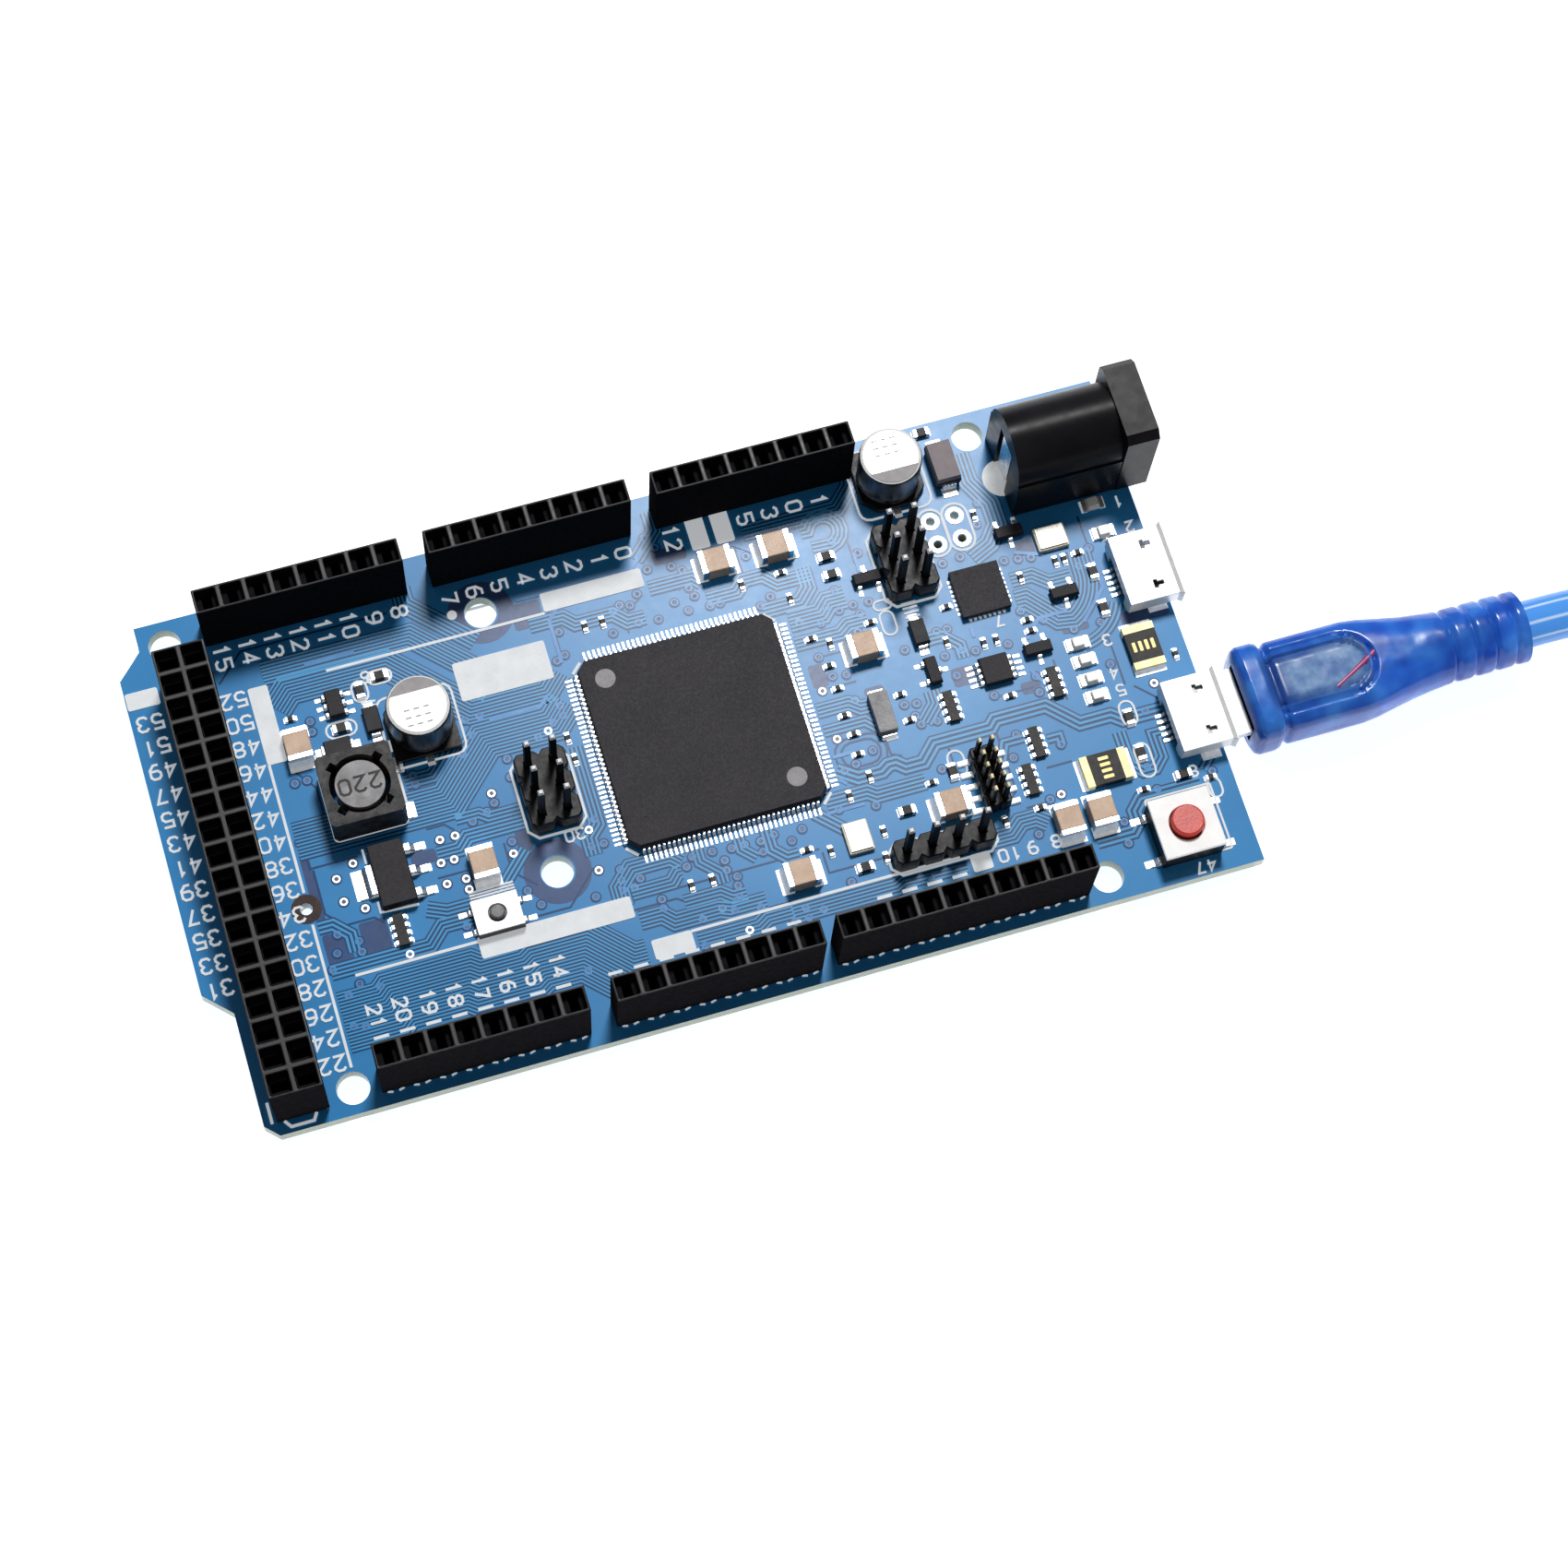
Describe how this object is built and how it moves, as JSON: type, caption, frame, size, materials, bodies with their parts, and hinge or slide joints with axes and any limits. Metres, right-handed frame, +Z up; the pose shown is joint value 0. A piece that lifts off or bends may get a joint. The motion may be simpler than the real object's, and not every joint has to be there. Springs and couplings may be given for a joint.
{
  "type": "microcontroller development board",
  "caption": "Long rectangular microcontroller board with edge socket headers, a square processor, micro USB sockets, a barrel power jack, push switches and a plugged-in USB cable.",
  "frame": {"origin": "on the surface that the board stands on, under the middle of the board with its power jack, cable left out", "axes": "+X along the long side towards the USB sockets and the jack, +Y across it towards the power header, +Z up out of the component side"},
  "size_m": [0.2654, 0.0646, 0.0142],
  "materials": {
    "solder_mask_board": "satin solder mask over glass-fibre laminate",
    "black_plastic": "moulded, slightly glossy",
    "chip_resin": "fine matt epoxy",
    "tinned_metal": "bright tin plate",
    "gold_metal": "thin gold plate",
    "shell_steel": "bright nickel plate",
    "ferrite": "matt sintered ferrite",
    "copper_wire": "enamelled wire",
    "aluminium_can": "bright drawn can",
    "tan_ceramic": "fired ceramic",
    "chip_black": "glazed resistor body",
    "white_ceramic": "fired ceramic",
    "led_white": "milky clear resin",
    "white_plastic": "moulded",
    "red_plastic": "moulded button cap",
    "grey_plastic": "moulded plunger",
    "spring_steel": "spring temper",
    "clear_blue_vinyl": "translucent soft vinyl"
  },
  "bodies": {
    "board": {"analog_high_header": "black_plastic", "analog_low_header": "black_plastic", "capacitor_bases": "black_plastic", "capacitor_cans": "aluminium_can", "ceramic_capacitor_bodies": "tan_ceramic", "chip_component_bodies": "chip_black", "chip_end_caps": "tinned_metal", "circuit_board": "solder_mask_board", "communication_header": "black_plastic", "crystal_bases": "white_ceramic", "crystal_lids": "tinned_metal", "digital_double_header": "black_plastic", "diode_bodies": "chip_resin", "erase_switch_base": "black_plastic", "erase_switch_cover": "shell_steel", "erase_switch_dome": "spring_steel", "header_end_contacts": "tinned_metal", "header_inner_contacts": "tinned_metal", "header_pins": "tinned_metal", "inductor_drum": "ferrite", "inductor_frame": "ferrite", "inductor_winding": "copper_wire", "jtag_header_base": "black_plastic", "jtag_pins": "gold_metal", "led_bodies": "led_white", "pin_header_bases": "black_plastic", "polyfuse_bodies": "chip_black", "polyfuse_ends": "gold_metal", "power_header": "black_plastic", "power_jack_housing": "black_plastic", "power_jack_pin": "shell_steel", "power_jack_terminals": "tinned_metal", "processor_body": "chip_resin", "processor_leads": "tinned_metal", "pwm_high_header": "black_plastic", "pwm_low_header": "black_plastic", "reset_switch_base": "black_plastic", "reset_switch_cover": "white_plastic", "reset_switch_dome": "spring_steel", "resistor_array_bodies": "chip_black", "small_ic_bodies": "chip_resin", "small_part_leads": "tinned_metal", "switch_terminals": "tinned_metal", "transistor_bodies": "chip_resin", "usb_bridge_body": "chip_resin", "usb_bridge_pads": "tinned_metal", "usb_receptacle_contacts": "gold_metal", "usb_receptacle_shells": "shell_steel", "usb_receptacle_tongues": "black_plastic", "voltage_regulator_body": "chip_resin", "watch_crystal": "ferrite"},
    "reset_button": {"reset_button": "red_plastic"},
    "erase_button": {"erase_button": "grey_plastic"},
    "usb_cable": {"usb_cord": "clear_blue_vinyl", "cord_coil": "clear_blue_vinyl", "micro_plug_shell": "shell_steel", "micro_plug_overmould": "clear_blue_vinyl", "usb_a_plug_overmould": "clear_blue_vinyl", "usb_a_plug_shell": "shell_steel", "usb_a_plug_tongue": "white_plastic"}
  },
  "joints": [
    {"name": "reset_press", "type": "slide", "parent": "board", "child": "reset_button", "axis": [0, 0, -1], "range_m": [0, 0.00025], "stiffness_N_per_m": 5000, "springref_m": -0.0001, "deforming": ["reset_switch_dome"]},
    {"name": "erase_press", "type": "slide", "parent": "board", "child": "erase_button", "axis": [0, 0, -1], "range_m": [0, 0.0002], "stiffness_N_per_m": 5000, "springref_m": -0.0001, "deforming": ["erase_switch_dome"]},
    {"name": "usb_unplug", "type": "slide", "parent": "board", "child": "usb_cable", "axis": [1, 0, 0], "range_m": [0, 0.008]}
  ]
}
